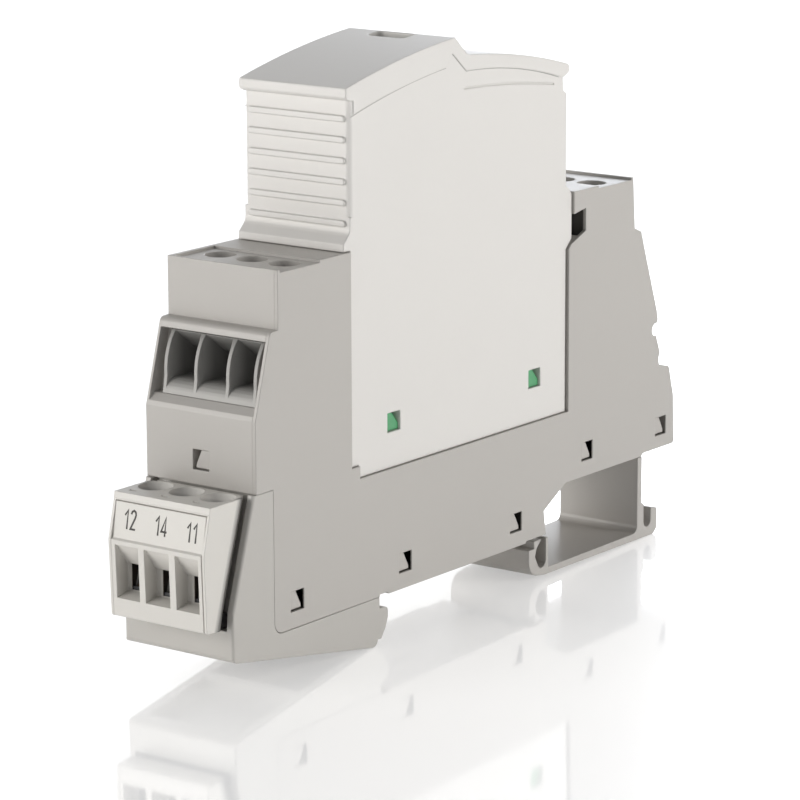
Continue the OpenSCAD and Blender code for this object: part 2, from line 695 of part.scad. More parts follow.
module signal_screw(x) {
    color(steel)
        lean()
            translate([x, 0, 0])
                difference() {
                    union() {
                        translate([0, 0, signal_screw_z])
                            cylinder(r = signal_shank_r, h = signal_seat_z + 0.2 - signal_screw_z);
                        translate([0, 0, signal_seat_z + slip])
                            cylinder(r = signal_head_r, h = 1.0);
                    }
                    box(-1.4, 1.4, -0.25, 0.25, signal_seat_z + 0.5, signal_seat_z + 2);
                }
}

module signal_cage(x) {
    color(steel)
        lean()
            difference() {
                box(x - signal_cage_w / 2, x + signal_cage_w / 2, -signal_cage_d / 2, signal_cage_d / 2,
                    signal_cage_z0, signal_cage_z1);
                box(x - 1.3, x + 1.3, -3, 3, signal_cage_z0 + 0.7, signal_cage_z1 - 1.1);
                translate([x, 0, -9])
                    cylinder(r = signal_shank_r + thread_clearance, h = 4);
                // Slanted lower front edge, out of the way of the wire
                across([[-2, -14], [-0.4, -14], [-0.4, -12.7], [-1.4, -12.0], [-2, -12.0]], x - 2, x + 2);
            }
}

// Plug
arch_front = [cap_y0, 67.45];
arch_peak = [-0.45, 71.4];
arch_foot = [2.9, 68.8];
arch_end = [25.4, 65.1];
front_arch = bulge(arch_front, arch_peak, 0.47, 12);
rear_arch = bulge(arch_foot, arch_end, 0.57, 12);

hood_outline = concat(
    [[plug_y1, plug_z0], [plug_y1, 39.45], [26.9, 40.8], [26.9, 47.0], [26.3, 47.7], [plug_y1, 48.3],
     [plug_y1, 61.0], [24.75, 61.5], [24.6, 63.3]],
    [[25.8, 63.8], [26.0, 64.1], [26.0, 64.7], [25.7, 65.0]],
    [for (i = [len(rear_arch) - 1:-1:0]) rear_arch[i]],
    [[2.2, 69.0]],
    [for (i = [len(front_arch) - 1:-1:0]) front_arch[i]],
    [[cap_y0 - 0.1, 67.2], [cap_y0 - 0.1, 66.3], [cap_y0 + 0.15, 66.0], [plug_y0, 65.8]],
    [[plug_y0, 49.6]],
    arc(-24.55, 49.6, 1.6, 0, -55, 4),
    [[-24.35, 47.6], [-24.4, front_top_z + lip], [plug_y0, front_top_z + lip], [plug_y0, 18.4], [-21.5, 18.4], [-21.5, plug_z0]]);

// Side panel below the cap, a little sunk, with the cap's arched lower edge on top
side_panel = concat(bulge([-24.4, 63.4], [-2.3, 67.65], 0.45, 12), [[-0.95, 69.35], [2.1, 66.8]],
    bulge([2.2, 66.75], [24.3, 63.35], 0.78, 12), [[30, 63.3], [30, 0], [-30, 0], [-30, 63.4]]);

green_windows = [-13.9, 18.1];
green_z0 = 21.45;
green_z1 = 24.05;
green_l = 2.8;
slot_x = -0.6;
slot_y = -1.95;
slot_w = 6.2;
slot_l = 3.0;
// Fine groove that runs below the cap's rear arch
arch_groove = concat(bulge([1.7, 64.6], [22.5, 62.75], 0.36, 10), bulge([22.5, 62.5], [1.7, 64.35], -0.36, 10));

// Inside of the hood
hood_room = [[-21.4, plug_z0 - through], [-21.4, 64.0], [-14, 67.4], [-1.2, 69.0], [2.0, 67.0], [11, 66.2],
             [22.6, 62.9], [24.0, 60.2], [24.0, plug_z0 - through]];

// Lever that shows the state in the cap's slot and works the tappet with its cam
rocker_y = -3;
rocker_z = 40;
rocker_pin_r = 1.25;
rocker_x0 = 2.4;
rocker_t = 1.1;

module grip_rib(z) {
    // Rib with round ends on the front end of the hood
    translate([0, plug_y0 - 0.35, z]) {
        for (s = [-1, 1])
            translate([s * 7.45, 0, 0])
                rotate([-90, 0, 0])
                    cylinder(r = 0.38, h = 0.6);
        translate([-7.45, 0, -0.38])
            cube([14.9, 0.6, 0.76]);
    }
}

module plug_hood() {
    color(plug_white)
        difference() {
            union() {
                across(hood_outline, -cap_w / 2, cap_w / 2);
                for (i = [0:rib_count - 1])
                    grip_rib(50.05 + i * rib_pitch);
            }
            for (s = [0, 1])
                mirror([s, 0, 0])
                    across(side_panel, hood_w / 2, half_w);
            // Room for the protective elements, open at the bottom
            across(hood_room, -hood_w / 2 + hood_wall, hood_w / 2 - hood_wall);
            // Square windows for the green hooks
            for (y = green_windows)
                box(-half_w, half_w, y - green_l / 2, y + green_l / 2, green_z0, green_z1);
            // Status slot in the cap
            round_slot(slot_x, slot_y, slot_w, slot_l, 0.9, 60, 75);
            // Rounded front corners above the grip's foot, and a fine line under the rear arch
            for (s = [0, 1])
                mirror([s, 0, 0]) {
                    translate([-hood_w / 2, plug_y0, 50.9]) corner_cutter(0.7, 14.85);
                    across(arch_groove, hood_w / 2 - 0.12, half_w);
                }
        }
    // Pin that the status rocker swings on
    color(plug_white)
        translate([rocker_x0 - 0.4, rocker_y, rocker_z])
            rotate([0, 90, 0])
                cylinder(r = rocker_pin_r, h = hood_w / 2 - 0.6 - rocker_x0);
}

module carrier_hook(y) {
    for (s = [0, 1])
        mirror([s, 0, 0]) {
            box(6.0, 7.2, y - 1.3, y + 1.3, 18.6, green_z1 - 0.1);
            across([[y - 1.3, green_z0 + 0.1], [y + 1.3, green_z0 + 0.1], [y + 1.3, green_z0 + 0.9], [y - 0.1, green_z1 - 0.1],
                    [y - 1.3, green_z1 - 0.1]], 7.2, 8.15);
        }
}

module plug_carrier() {
    color(hook_green)
        difference() {
            union() {
                box(-7.25, 7.25, -21.2, 24.0, plug_z0, 18.9);
                for (y = green_windows)
                    carrier_hook(y);
                // Ribs that hold the circuit board
                box(-7.2, -4.0, -20.6, -19.2, 18.8, 21.2);
                box(-7.2, -4.0, 22.2, 23.6, 18.8, 21.2);
            }
            for (x = terminal_xs, y = [front_fork_y, rear_fork_y])
                box(x - blade_w / 2, x + blade_w / 2, y - blade_t / 2, y + blade_t / 2, 10, 30);
            box(board_x0 - slip, board_x0 + 1.5 + slip, -20.1, 22.7, 18.95, 30);
            translate([0, button_y, 10])
                cylinder(r = tappet_r + slip, h = 20);
        }
}

module blades(y) {
    color(steel)
        for (x = terminal_xs)
            difference() {
                box(x - blade_w / 2, x + blade_w / 2, y - blade_t / 2, y + blade_t / 2, 9.4, 18.9);
                for (s = [-1, 1])
                    translate([x + s * blade_w / 2, y, 9.4])
                        rotate([0, 45, 0])
                            cube([0.8, 2, 0.8], center = true);
            }
}

// Circuit board of the plug and what stands on it
board_x0 = -6.25;

module plug_board() {
    color([0.2, 0.42, 0.28])
        box(board_x0, board_x0 + 1.5, -20.0, 22.6, 19.0, 60.5);
}

module varistor(y, z) {
    color([0.2, 0.35, 0.6])
        translate([board_x0 + 1.5, y, z])
            rotate([0, 90, 0]) {
                cylinder(r = 9, h = 4.6);
                translate([8.6, -2.4, 0]) cube([3, 0.8, 1.2]);
                translate([8.6, 1.6, 0]) cube([3, 0.8, 1.2]);
            }
}

module gas_tube() {
    color([0.85, 0.8, 0.75])
        translate([board_x0 + 1.5, 7, 28])
            rotate([0, 90, 0]) {
                cylinder(r = 3.6, h = 1.2);
                translate([0, 0, 1.2]) cylinder(r = 3.2, h = 3.6);
                translate([0, 0, 4.8]) cylinder(r = 3.6, h = 1.2);
            }
}

// Spring strip soldered to a varistor; it holds the status rocker in the ready state
module solder_link() {
    color(copper) {
        box(-0.15, 0.35, -9, -4.2, 46, 58.6);
        box(-0.15, 1.2, -5.2, -4.2, 57.4, 58.6);
    }
}

module status_rocker() {
    cam = [[-1.8, 24.42], [-4.6, 24.42], [-7.8, 23.94], [-7.8, 25.2], [-4.4, 27.4], [-1.8, 27.4]];
    color([0.2, 0.6, 0.3])
        difference() {
            union() {
                across([[-4.3, 27.2], [-1.8, 27.2], [-1.8, 65.8], [-4.1, 65.8]], rocker_x0, rocker_x0 + rocker_t);
                translate([rocker_x0, rocker_y, rocker_z])
                    rotate([0, 90, 0])
                        cylinder(r = 2.5, h = rocker_t);
                across(cam, -1.0, rocker_x0 + rocker_t);
                box(-3.2, rocker_x0 + rocker_t, -4.1, 3.7, 65.6, 66.3);
            }
            translate([rocker_x0 - 1, rocker_y, rocker_z])
                rotate([0, 90, 0])
                    cylinder(r = rocker_pin_r + slip, h = 4);
        }
}

// Pin that passes the fault signal down to the microswitch in the base
tappet_r = 1.0;
tappet_z0 = switch_z1 + 0.9;
tappet_z1 = 24.3;

module fault_tappet() {
    color([0.85, 0.85, 0.85])
        translate([0, button_y, 0]) {
            translate([0, 0, tappet_z0])
                cylinder(r = tappet_r, h = 23 - tappet_z0);
            translate([0, 0, 22.9])
                cylinder(r = 0.6, h = tappet_z1 - 22.9);
            translate([0, 0, 20.6])
                cylinder(r = 1.8, h = 1.0);
        }
}

base_tub();
base_cover();
signal_carrier();
rail_foot();
terminal_insert();  // front_terminal_insert
to_rear() terminal_insert();  // rear_terminal_insert
terminal_screw(terminal_xs[0]);  // front_screw_1
terminal_screw(terminal_xs[1]);  // front_screw_2
terminal_screw(terminal_xs[2]);  // front_screw_3
to_rear() terminal_screw(terminal_xs[0]);  // rear_screw_1
to_rear() terminal_screw(terminal_xs[1]);  // rear_screw_2
to_rear() terminal_screw(terminal_xs[2]);  // rear_screw_3
clamp_cage(terminal_xs[0]);  // front_cage_1
clamp_cage(terminal_xs[1]);  // front_cage_2
clamp_cage(terminal_xs[2]);  // front_cage_3
to_rear() clamp_cage(terminal_xs[0]);  // rear_cage_1
to_rear() clamp_cage(terminal_xs[1]);  // rear_cage_2
to_rear() clamp_cage(terminal_xs[2]);  // rear_cage_3
front_bar(terminal_xs[0]);  // front_bar_1
front_bar(terminal_xs[1]);  // front_bar_2
front_bar(terminal_xs[2]);  // front_bar_3
rear_bar(terminal_xs[0]);  // rear_bar_1
rear_bar(terminal_xs[1]);  // rear_bar_2
rear_bar(terminal_xs[2]);  // rear_bar_3
signal_board();
microswitch();
microswitch_button();
header_shroud();
header_pins();
connector_body();
connector_front();
connector_contacts();
signal_screw(signal_xs[0]);  // signal_screw_1
signal_screw(signal_xs[1]);  // signal_screw_2
signal_screw(signal_xs[2]);  // signal_screw_3
signal_cage(signal_xs[0]);  // signal_cage_1
signal_cage(signal_xs[1]);  // signal_cage_2
signal_cage(signal_xs[2]);  // signal_cage_3
plug_hood();
plug_carrier();
blades(front_fork_y);  // front_blades
blades(rear_fork_y);  // rear_blades
plug_board();
varistor(-9, 45);  // varistor_1
varistor(12, 45);  // varistor_2
gas_tube();
solder_link();
status_rocker();
fault_tappet();
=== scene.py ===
"""Looks of the DIN rail surge arrester: moulded plastics, metalwork, boards, numerals and a plain studio."""

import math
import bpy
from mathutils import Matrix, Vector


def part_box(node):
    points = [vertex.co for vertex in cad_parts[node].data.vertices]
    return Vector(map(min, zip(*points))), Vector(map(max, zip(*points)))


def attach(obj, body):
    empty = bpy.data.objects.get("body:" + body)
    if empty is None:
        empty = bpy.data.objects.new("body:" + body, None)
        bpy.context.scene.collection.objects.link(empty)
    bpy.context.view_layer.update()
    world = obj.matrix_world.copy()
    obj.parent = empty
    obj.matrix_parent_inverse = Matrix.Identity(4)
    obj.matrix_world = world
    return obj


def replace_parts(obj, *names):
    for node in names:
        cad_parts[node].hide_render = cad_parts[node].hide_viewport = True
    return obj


bl_info = {
    "name": "Rail surge arrester",
    "version": (1, 0, 0),
    "blender": (4, 5, 0),
    "location": "3D View > Sidebar > Arrester",
    "description": "Finishes a packed surge arrester and sets it in a plain studio",
    "category": "Object",
}

import bmesh
import bpy
from mathutils import Matrix, Vector

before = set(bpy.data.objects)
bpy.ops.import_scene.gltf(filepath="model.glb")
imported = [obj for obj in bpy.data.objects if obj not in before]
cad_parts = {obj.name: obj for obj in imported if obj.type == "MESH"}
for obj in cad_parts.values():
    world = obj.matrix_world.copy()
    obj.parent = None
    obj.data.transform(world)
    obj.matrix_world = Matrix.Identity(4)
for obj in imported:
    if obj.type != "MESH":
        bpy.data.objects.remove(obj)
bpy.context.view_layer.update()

MM = 0.001
TILT = math.radians(17)
CONNECTOR_PIVOT = Vector((0, -46.2, 18.65))
# Upper and lower edge of the connector's label field
LABEL_TOP = Vector((0, -51.0, 17.55))
LABEL_FOOT = Vector((0, -51.85, 12.95))


# ---------------------------------------------------------------- shader maths
class Wire:
    """A value socket that can be added, scaled and so on, which adds Math nodes."""

    def __init__(self, shade, socket):
        self.shade = shade
        self.socket = socket

    def _math(self, operation, a, b=None, clamp=False):
        values = [a] if b is None else [a, b]
        return self.shade.node("ShaderNodeMath", {"operation": operation, "use_clamp": clamp}, *values)[0]

    def __add__(self, other):
        return self._math("ADD", self, other)

    def __radd__(self, other):
        return self._math("ADD", other, self)

    def __sub__(self, other):
        return self._math("SUBTRACT", self, other)

    def __rsub__(self, other):
        return self._math("SUBTRACT", other, self)

    def __mul__(self, other):
        return self._math("MULTIPLY", self, other)

    def __rmul__(self, other):
        return self._math("MULTIPLY", other, self)

    def __pow__(self, other):
        return self._math("POWER", self, other)

    def __abs__(self):
        return self._math("ABSOLUTE", self)

    def clamped(self):
        return self._math("ADD", self, 0.0, clamp=True)


class Shade:
    """A material's node tree, with one method that adds any node."""

    def __init__(self, name):
        self.material = bpy.data.materials.new(name)
        self.material.use_nodes = True
        self.tree = self.material.node_tree
        self.tree.nodes.clear()
        self.output = self.tree.nodes.new("ShaderNodeOutputMaterial")
        self.surface = self.tree.nodes.new("ShaderNodeBsdfPrincipled")
        self.tree.links.new(self.surface.outputs[0], self.output.inputs["Surface"])
        self.place = self.node("ShaderNodeTexCoord", {})[3]

    def feed(self, socket, value):
        if isinstance(value, Wire):
            self.tree.links.new(value.socket, socket)
        else:
            socket.default_value = value

    def node(self, kind, settings, *values, **named):
        """Adds a node, applies its settings, then fills its sockets by order or by name."""
        node = self.tree.nodes.new(kind)
        for key, value in settings.items():
            if key == "stops":
                for stop, (position, colour) in zip(node.color_ramp.elements, value):
                    stop.position, stop.color = position, colour
            else:
                setattr(node, key, value)
        for socket, value in zip(node.inputs, values):
            self.feed(socket, value)
        for key, value in named.items():
            self.feed(node.inputs[key.replace("_", " ")], value)
        return [Wire(self, socket) for socket in node.outputs]

    def set(self, **named):
        for key, value in named.items():
            self.feed(self.surface.inputs[key.replace("_", " ")], value)

    def noise(self, scale, detail=2.0, place=None, roughness=0.5):
        return self.node("ShaderNodeTexNoise", {}, Vector=place or self.place, Scale=scale,
                         Detail=detail, Roughness=roughness)[0]

    def stretched(self, x, y, z):
        return self.node("ShaderNodeMapping", {}, Vector=self.place, Scale=(x, y, z))[0]

    def blend(self, factor, a, b, how="MIX"):
        node = self.tree.nodes.new("ShaderNodeMix")
        node.data_type = "RGBA"
        node.blend_type = how
        self.feed(node.inputs[0], factor)
        self.feed(node.inputs[6], a)
        self.feed(node.inputs[7], b)
        return Wire(self, node.outputs[2])

    def soft_edge(self, radius):
        """Normal of an edge rounded by the radius, and how far it turns from the flat faces."""
        rounded = self.node("ShaderNodeBevel", {"samples": 6}, radius)[0]
        flat = self.node("ShaderNodeNewGeometry", {})[1]
        turned = 1 - self.node("ShaderNodeVectorMath", {"operation": "DOT_PRODUCT"}, rounded, flat)[1]
        return rounded, turned

    def bump(self, height, distance, strength=1.0, normal=None):
        named = {"Strength": strength, "Distance": distance, "Height": height}
        if normal is not None:
            named["Normal"] = normal
        return self.node("ShaderNodeBump", {}, **named)[0]


def tone(colour, gain):
    return tuple(min(1.0, c * gain) for c in colour[:3]) + (1.0,)


def recess_painted_shade(shade):
    """Painted shade: how deep a spot of the connector lies in a screw well, in the gap beside a cheek or in a wire
    cell, which darkens its colour.
    """
    x, y, z = shade.node("ShaderNodeSeparateXYZ", {}, shade.place)[:3]
    across = shade.node("ShaderNodeMath", {"operation": "PINGPONG"}, x * 1000.0 - 0.15, 2.55)[0]
    back, height = y * 956.3 - z * 292.4 + 49.63, y * 292.4 + z * 956.3 - 4.33
    reach = (across * across + back * back) ** 0.5
    middle = abs(x * 1000.0 - 0.2)
    # Painted shade in the screw wells, in the gaps beside the cheeks and in the wire cells
    well = ((2.25 - reach) * 5.0).clamped() * (height * -1.1 - 0.2).clamped() * ((height + 4.0) * 2.0).clamped() * 0.76
    gap = ((back - 0.50) * 1.1).clamped() * ((middle - 7.1) * 4.0).clamped() * 0.94
    cell = ((y * 1000.0 + 51.5) * 0.7).clamped() * ((7.15 - middle) * 4.0).clamped() * ((12.4 - z * 1000.0) * 4.0).clamped()
    return (well + gap + cell * 0.28).clamped()


def funnel_painted_shade(front, inward):
    """Painted shade: how deep a spot lies behind the funnels' front line, in shares of their depth, which darkens the
    funnels' colour inwards.
    """
    def painted_shade(shade):
        y = shade.node("ShaderNodeSeparateXYZ", {}, shade.place)[1]
        return ((y - front) * (inward / 0.0036)).clamped() ** 0.8 * 0.75
    return painted_shade


def moulded(name, colour, sizes, roughness=0.40, grain=1.0, wear=0.35, edge=1.0, painted_shade=None):
    """Spark-eroded moulded plastic: fine grain, faint flow streaks, softened and slightly polished edges."""
    shade = Shade(name)
    fine = shade.noise(1.0 / (sizes.grain * grain), 3.0)
    speck = shade.noise(0.35 / (sizes.grain * grain), 2.0)
    cloud = shade.noise(55.0, 3.0)
    flow = shade.noise(18.0, 4.0, shade.stretched(1.0, 0.35, 1.6))
    rounded, turned = shade.soft_edge(sizes.edge * edge)
    base = shade.blend((cloud * 0.6 + flow * 0.4).clamped(), tone(colour, 0.965), tone(colour, 1.03))
    base = shade.blend((speck * 0.10).clamped(), base, tone(colour, 0.86))
    base = shade.blend((turned * wear * 2.2).clamped(), base, tone(colour, 1.16))
    # Painted shade: the colour is darkened towards a tenth where a spot lies deep in a recess
    if painted_shade is not None:
        base = shade.blend(painted_shade(shade), base, tone(colour, 0.10))
    shade.set(Base_Color=base, Roughness=(roughness - 0.10 + fine * 0.16 + cloud * 0.06 - turned * 0.25).clamped(),
              Normal=shade.bump(fine + speck * 0.6, sizes.grain_depth * grain, 0.55, rounded))
    shade.surface.inputs["Specular IOR Level"].default_value = 0.65
    return shade.material


def plated(name, colour, sizes, roughness=0.28, streak=(1.0, 1.0, 30.0)):
    """Zinc or tin plating over steel or copper: drawn streaks, cloudy dull spots, bright edges."""
    shade = Shade(name)
    drawn = shade.noise(900.0, 3.0, shade.stretched(*streak))
    dull = shade.noise(420.0, 4.0)
    rounded, turned = shade.soft_edge(sizes.edge * 0.3)
    base = shade.blend((dull * 0.9).clamped(), tone(colour, 0.84), tone(colour, 1.06))
    base = shade.blend((turned * 1.6).clamped(), base, tone(colour, 1.2))
    shade.set(Base_Color=base, Roughness=(roughness + drawn * 0.22 + dull * 0.12 - 0.12).clamped(),
              Normal=shade.bump(drawn, 0.00001, 0.5, rounded))
    shade.surface.inputs["Metallic"].default_value = 1.0
    return shade.material


def board_finish(name, colour, sizes):
    """Solder resist over copper tracks, which show as slightly raised, lighter paths."""
    shade = Shade(name)
    tracks = shade.node("ShaderNodeTexBrick", {"offset": 0.5}, Vector=shade.stretched(1.0, 1.0, 1.0),
                        Scale=260.0, Mortar_Size=0.018, Mortar_Smooth=0.2)[1]
    glassy = shade.noise(1400.0, 2.0)
    base = shade.blend(tracks, tone(colour, 0.8), tone(colour, 1.35))
    shade.set(Base_Color=base, Roughness=(0.3 + glassy * 0.15).clamped(),
              Normal=shade.bump(tracks * 0.6 + glassy * 0.1, 0.00004, 0.6))
    return shade.material


def dipped(name, colour, sizes, roughness=0.22):
    """Dip-coated or glazed skin with a soft orange peel."""
    shade = Shade(name)
    peel = shade.noise(700.0, 2.0)
    pool = shade.noise(120.0, 3.0)
    base = shade.blend(pool, tone(colour, 0.88), tone(colour, 1.1))
    shade.set(Base_Color=base, Roughness=(roughness + pool * 0.12).clamped(),
              Normal=shade.bump(peel, 0.00003, 0.5, shade.soft_edge(0.0006)[0]))
    shade.surface.inputs["Coat Weight"].default_value = 0.4
    return shade.material


def ink(name, colour):
    """Pad-printed numerals: matt, a little uneven."""
    shade = Shade(name)
    uneven = shade.noise(2500.0, 3.0)
    shade.set(Base_Color=shade.blend(uneven, tone(colour, 0.85), tone(colour, 1.35)),
              Roughness=(0.6 + uneven * 0.2).clamped())
    return shade.material


# ---------------------------------------------------------------- pieces
def dress(node, material):
    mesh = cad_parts[node].data
    mesh.materials.clear()
    mesh.materials.append(material)


def finished(name, mesh, material, body):
    """Puts a finished mesh in the scene, on its body."""
    piece = bpy.data.objects.new(name, mesh)
    bpy.context.scene.collection.objects.link(piece)
    if material is not None:
        mesh.materials.clear()
        mesh.materials.append(material)
    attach(piece, body)
    return piece


def lean_matrix():
    """The connector's leaning frame, in metres."""
    return Matrix.Translation(CONNECTOR_PIVOT * MM) @ Matrix.Rotation(-TILT, 4, "X")


def lean_point(y, z):
    """A (y, z) point of the leaning frame, as (y, z) of the arrester, in millimetres."""
    point = Matrix.Rotation(-TILT, 3, "X") @ Vector((0, y, z)) + CONNECTOR_PIVOT
    return point.y, point.z


def bulge(start, end, rise, steps=12):
    """Arc from start to end that rises to the left of the way."""
    start, end = Vector(start), Vector(end)
    way = end - start
    radius = (way.length_squared / 4 + rise * rise) / (2 * abs(rise))
    side = 1 if rise > 0 else -1
    left = Vector((-way.y, way.x)) / way.length
    centre = (start + end) / 2 - left * side * (radius - abs(rise))
    first = math.atan2(start.y - centre.y, start.x - centre.x)
    sweep = 2 * math.asin(way.length / 2 / radius)
    turns = [first - side * sweep * step / steps for step in range(steps + 1)]
    return [centre + radius * Vector((math.cos(turn), math.sin(turn))) for turn in turns]


def loft(sections):
    """Closed mesh through (x, outline) sections, whose (y, z) outlines have equally many points, in millimetres."""
    count = len(sections[0][1])
    vertices = [(x * MM, point[0] * MM, point[1] * MM) for x, outline in sections for point in outline]
    faces = [list(range(count))[::-1], list(range(len(vertices) - count, len(vertices)))]
    for first in range(0, len(vertices) - count, count):
        faces += [[first + k, first + (k + 1) % count, first + (k + 1) % count + count, first + k + count]
                  for k in range(count)]
    return closed_mesh(vertices, faces)


def prism(outline, x0, x1):
    """Closed mesh of a (y, z) outline drawn across the width from x0 to x1."""
    return loft([(x0, outline), (x1, outline)])


def block(low, high, lean=False):
    """Box between two corners in millimetres, upright or in the leaning frame."""
    vertices = [Vector((x, y, z)) * MM for x in (low[0], high[0]) for y in (low[1], high[1]) for z in (low[2], high[2])]
    faces = [(0, 1, 3, 2), (4, 6, 7, 5), (0, 4, 5, 1), (2, 3, 7, 6), (0, 2, 6, 4), (1, 5, 7, 3)]
    mesh = closed_mesh(vertices, faces)
    if lean:
        mesh.transform(lean_matrix())
    return mesh


def turned(x, profile, segments=48):
    """Solid turned about a screw's leaning axis from (radius, height) steps, in millimetres."""
    turns = [math.tau * k / segments for k in range(segments)]
    vertices = [Vector((x + radius * math.cos(turn), radius * math.sin(turn), height)) * MM
                for radius, height in profile for turn in turns]
    faces = [list(range(segments))[::-1], list(range(len(vertices) - segments, len(vertices)))]
    for first in range(0, len(vertices) - segments, segments):
        faces += [[first + k, first + (k + 1) % segments, first + (k + 1) % segments + segments, first + k + segments]
                  for k in range(segments)]
    mesh = closed_mesh(vertices, faces)
    mesh.transform(lean_matrix())
    return mesh


def closed_mesh(vertices, faces):
    """Mesh with its faces turned outwards."""
    mesh = bpy.data.meshes.new("solid")
    mesh.from_pydata([tuple(vertex) for vertex in vertices], [], faces)
    work = bmesh.new()
    work.from_mesh(mesh)
    bmesh.ops.recalc_face_normals(work, faces=work.faces)
    work.to_mesh(mesh)
    work.free()
    return mesh


def combined(mesh, others, operation="DIFFERENCE"):
    """Takes the other meshes from the mesh, or joins them to it, one after the other."""
    for other in others:
        target = bpy.data.objects.new("target", mesh)
        tool = bpy.data.objects.new("tool", other)
        for item in (target, tool):
            bpy.context.scene.collection.objects.link(item)
        modifier = target.modifiers.new("combine", "BOOLEAN")
        modifier.operation, modifier.solver, modifier.object = operation, "EXACT", tool
        depsgraph = bpy.context.evaluated_depsgraph_get()
        depsgraph.update()
        mesh = bpy.data.meshes.new_from_object(target.evaluated_get(depsgraph), depsgraph=depsgraph)
        for item in (target, tool):
            bpy.data.objects.remove(item)
    return mesh


def from_tree(name, tree, inputs, transform):
    """Runs a Geometry Nodes tree on an empty mesh and returns the result as a plain mesh."""
    holder = bpy.data.objects.new(name + "_holder", bpy.data.meshes.new(name + "_seed"))
    bpy.context.scene.collection.objects.link(holder)
    modifier = holder.modifiers.new("build", "NODES")
    modifier.node_group = tree
    for item in tree.interface.items_tree:
        if item.item_type == "SOCKET" and item.in_out == "INPUT" and item.name in inputs:
            modifier[item.identifier] = inputs[item.name]
    depsgraph = bpy.context.evaluated_depsgraph_get()
    depsgraph.update()
    mesh = bpy.data.meshes.new_from_object(holder.evaluated_get(depsgraph), depsgraph=depsgraph)
    bpy.data.objects.remove(holder)
    mesh.transform(transform)
    mesh.name = name
    return mesh


class Growth:
    """A Geometry Nodes tree with named inputs, which ends in Realize Instances and Set Material."""

    def __init__(self, name, sizes):
        self.tree = bpy.data.node_groups.new(name, "GeometryNodeTree")
        self.tree.interface.new_socket("Geometry", in_out="INPUT", socket_type="NodeSocketGeometry")
        for label, kind, default in sizes:
            socket = self.tree.interface.new_socket(label, in_out="INPUT", socket_type=kind)
            if default is not None:
                socket.default_value = default
        self.tree.interface.new_socket("Geometry", in_out="OUTPUT", socket_type="NodeSocketGeometry")
        self.given = self.tree.nodes.new("NodeGroupInput")

    def size(self, label):
        return self.given.outputs[label]

    def add(self, kind, settings=None, **named):
        node = self.tree.nodes.new(kind)
        for key, value in (settings or {}).items():
            setattr(node, key, value)
        for key, value in named.items():
            socket = node.inputs[key.replace("_", " ")]
            if isinstance(value, bpy.types.NodeSocket):
                self.tree.links.new(value, socket)
            else:
                socket.default_value = value
        return node

    def end(self, geometry):
        real = self.add("GeometryNodeRealizeInstances", Geometry=geometry)
        painted = self.add("GeometryNodeSetMaterial", Geometry=real.outputs[0], Material=self.size("Material"))
        out = self.tree.nodes.new("NodeGroupOutput")
        self.tree.links.new(painted.outputs[0], out.inputs[0])
        return self.tree


def thread_tree():
    """A thread's ridge that winds up a screw's shank."""
    growth = Growth("screw_thread", [("Radius", "NodeSocketFloat", 0.00125), ("Pitch", "NodeSocketFloat", 0.0005),
                                     ("Turns", "NodeSocketFloat", 8.0), ("Ridge", "NodeSocketFloat", 0.00004),
                                     ("Material", "NodeSocketMaterial", None)])
    rise = growth.add("ShaderNodeMath", {"operation": "MULTIPLY"})
    growth.tree.links.new(growth.size("Pitch"), rise.inputs[0])
    growth.tree.links.new(growth.size("Turns"), rise.inputs[1])
    coil = growth.add("GeometryNodeCurveSpiral", Resolution=20, Rotations=growth.size("Turns"),
                      Start_Radius=growth.size("Radius"), End_Radius=growth.size("Radius"), Height=rise.outputs[0])
    ridge = growth.add("GeometryNodeCurvePrimitiveCircle", {"mode": "RADIUS"}, Resolution=4,
                       Radius=growth.size("Ridge"))
    solid = growth.add("GeometryNodeCurveToMesh", Curve=coil.outputs[0], Profile_Curve=ridge.outputs[0],
                       Fill_Caps=True)
    return growth.end(solid.outputs[0])


def bead_tree():
    """A straight row of soldered beads."""
    growth = Growth("solder_beads", [("Count", "NodeSocketInt", 8), ("Step", "NodeSocketVector", (0.0, 0.003, 0.0)),
                                     ("Bead", "NodeSocketFloat", 0.0006), ("Flatness", "NodeSocketVector", (0.5, 1.0, 1.0)),
                                     ("Material", "NodeSocketMaterial", None)])
    row = growth.add("GeometryNodeMeshLine", {"mode": "OFFSET"}, Count=growth.size("Count"), Offset=growth.size("Step"))
    bead = growth.add("GeometryNodeMeshUVSphere", Segments=12, Rings=8, Radius=growth.size("Bead"))
    placed = growth.add("GeometryNodeInstanceOnPoints", Points=row.outputs[0], Instance=bead.outputs[0],
                        Scale=growth.size("Flatness"))
    return growth.end(placed.outputs[0])


# ---------------------------------------------------------------- settings
def colour_property(label, note, default):
    return bpy.props.FloatVectorProperty(name=label, description=note, subtype="COLOR", size=3, min=0, max=1,
                                         default=default)


def length_property(label, note, default):
    return bpy.props.FloatProperty(name=label, description=note, default=default, min=0, precision=5,
                                   subtype="DISTANCE", unit="LENGTH")


class ArresterColours(bpy.types.PropertyGroup):
    """Colours of the mouldings, linear."""

    plug: colour_property("Plug", "Warm white of the plug-in module", (0.762, 0.740, 0.708))
    housing: colour_property("Housing", "Grey of the base", (0.485, 0.462, 0.432))
    carrier: colour_property("Carrier", "Grey of the L-shaped connector carrier", (0.500, 0.480, 0.447))
    insert: colour_property("Insert", "Grey of the wire funnels", (0.450, 0.438, 0.415))
    connector: colour_property("Connector", "White of the signalling connector", (0.715, 0.690, 0.645))
    hooks: colour_property("Hooks", "Green of the plug's inner carrier", (0.060, 0.330, 0.130))
    numerals: colour_property("Numerals", "Ink of the numerals", (0.060, 0.055, 0.050))
    zinc: colour_property("Zinc", "Plating of screws and cages", (0.62, 0.63, 0.65))
    copper: colour_property("Copper", "Contact strips", (0.66, 0.40, 0.22))


